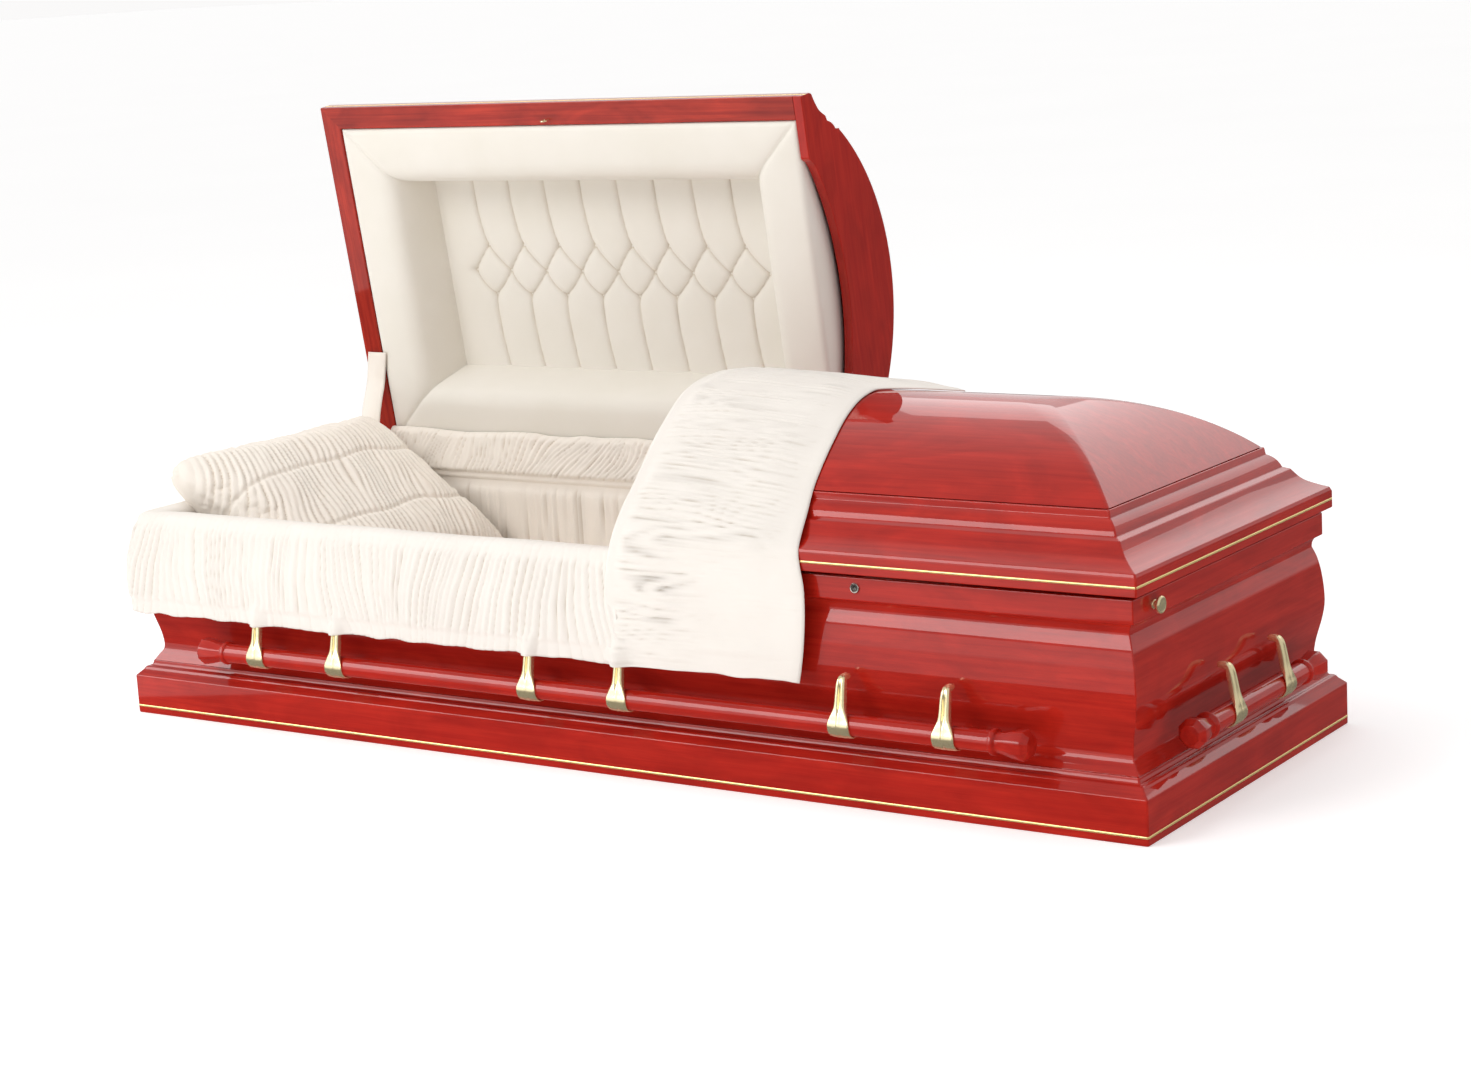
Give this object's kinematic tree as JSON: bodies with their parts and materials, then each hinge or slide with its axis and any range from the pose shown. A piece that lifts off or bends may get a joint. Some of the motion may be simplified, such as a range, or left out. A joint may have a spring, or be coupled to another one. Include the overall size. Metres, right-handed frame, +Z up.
{
  "type": "half-couch casket",
  "caption": "Lacquered half-couch casket: moulded box on a plinth, two arched hinged lids, swing-bar handles, padded cream lining, pillow, apron and throw.",
  "frame": {"origin": "middle of the underside", "axes": "+Z up, +X along the casket towards the foot end, -Y the front, where the lids open"},
  "size_m": [2.1652, 0.94, 1.0918],
  "materials": {
    "lacquered_wood": "cherry-red stained hardwood under a high-gloss clear lacquer, with gilt pinstripes",
    "polished_brass": "polished pale brass",
    "nickel": "polished nickel",
    "gathered_crepe": "matt cream crepe, gathered into fine shirring",
    "lid_padding": "smooth cream velvet over padding, tufted in the middle"
  },
  "bodies": {
    "casket": {"base_moulding_front": "lacquered_wood", "side_panel_front": "lacquered_wood", "top_rail_front": "lacquered_wood", "base_moulding_back": "lacquered_wood", "side_panel_back": "lacquered_wood", "top_rail_back": "lacquered_wood", "base_moulding_head": "lacquered_wood", "side_panel_head": "lacquered_wood", "top_rail_head": "lacquered_wood", "base_moulding_foot": "lacquered_wood", "side_panel_foot": "lacquered_wood", "top_rail_foot": "lacquered_wood", "bottom_board": "lacquered_wood", "ear_front_1": "lacquered_wood", "ear_front_2": "lacquered_wood", "ear_front_3": "lacquered_wood", "ear_back_1": "lacquered_wood", "ear_back_2": "lacquered_wood", "ear_back_3": "lacquered_wood", "ear_head_1": "lacquered_wood", "ear_foot_1": "lacquered_wood", "body_lining": "gathered_crepe", "mattress": "gathered_crepe", "pillow": "gathered_crepe", "apron": "gathered_crepe", "lock_escutcheon": "nickel", "end_knob": "polished_brass"},
    "head_lid": {"head_lid_rim_front": "lacquered_wood", "head_lid_rim_back": "lacquered_wood", "head_lid_rim_end": "lacquered_wood", "head_lid_crown": "lacquered_wood", "head_lid_header": "lacquered_wood", "lid_lining_border": "lid_padding", "lid_tufted_panel": "lid_padding"},
    "foot_lid": {"foot_lid_rim_front": "lacquered_wood", "foot_lid_rim_back": "lacquered_wood", "foot_lid_rim_end": "lacquered_wood", "foot_lid_crown": "lacquered_wood", "foot_lid_header": "lacquered_wood", "throw": "gathered_crepe"},
    "front_handle": {"bar_front": "lacquered_wood", "arm_front_1": "polished_brass", "arm_front_2": "polished_brass", "arm_front_3": "polished_brass", "arm_front_4": "polished_brass", "arm_front_5": "polished_brass", "arm_front_6": "polished_brass"},
    "back_handle": {"bar_back": "lacquered_wood", "arm_back_1": "polished_brass", "arm_back_2": "polished_brass", "arm_back_3": "polished_brass", "arm_back_4": "polished_brass", "arm_back_5": "polished_brass", "arm_back_6": "polished_brass"},
    "head_handle": {"bar_head": "lacquered_wood", "arm_head_1": "polished_brass", "arm_head_2": "polished_brass"},
    "foot_handle": {"bar_foot": "lacquered_wood", "arm_foot_1": "polished_brass", "arm_foot_2": "polished_brass"}
  },
  "joints": [
    {"name": "head_lid_hinge", "type": "hinge", "parent": "casket", "child": "head_lid", "pos_m": [0, 0.35315, 0.376], "axis": [-1, 0, 0], "range_deg": [-81.4, 0]},
    {"name": "foot_lid_hinge", "type": "hinge", "parent": "casket", "child": "foot_lid", "pos_m": [0, 0.35315, 0.376], "axis": [-1, 0, 0], "range_deg": [0, 81.4]},
    {"name": "front_handle_swing", "type": "hinge", "parent": "casket", "child": "front_handle", "pos_m": [0, -0.37195, 0.213], "axis": [-1, 0, 0], "range_deg": [0, 34]},
    {"name": "back_handle_swing", "type": "hinge", "parent": "casket", "child": "back_handle", "pos_m": [0, 0.37195, 0.213], "axis": [1, 0, 0], "range_deg": [0, 34]},
    {"name": "head_handle_swing", "type": "hinge", "parent": "casket", "child": "head_handle", "pos_m": [-1.0458, 0, 0.213], "axis": [0, 1, 0], "range_deg": [0, 34]},
    {"name": "foot_handle_swing", "type": "hinge", "parent": "casket", "child": "foot_handle", "pos_m": [1.0458, 0, 0.213], "axis": [0, -1, 0], "range_deg": [0, 34]}
  ]
}
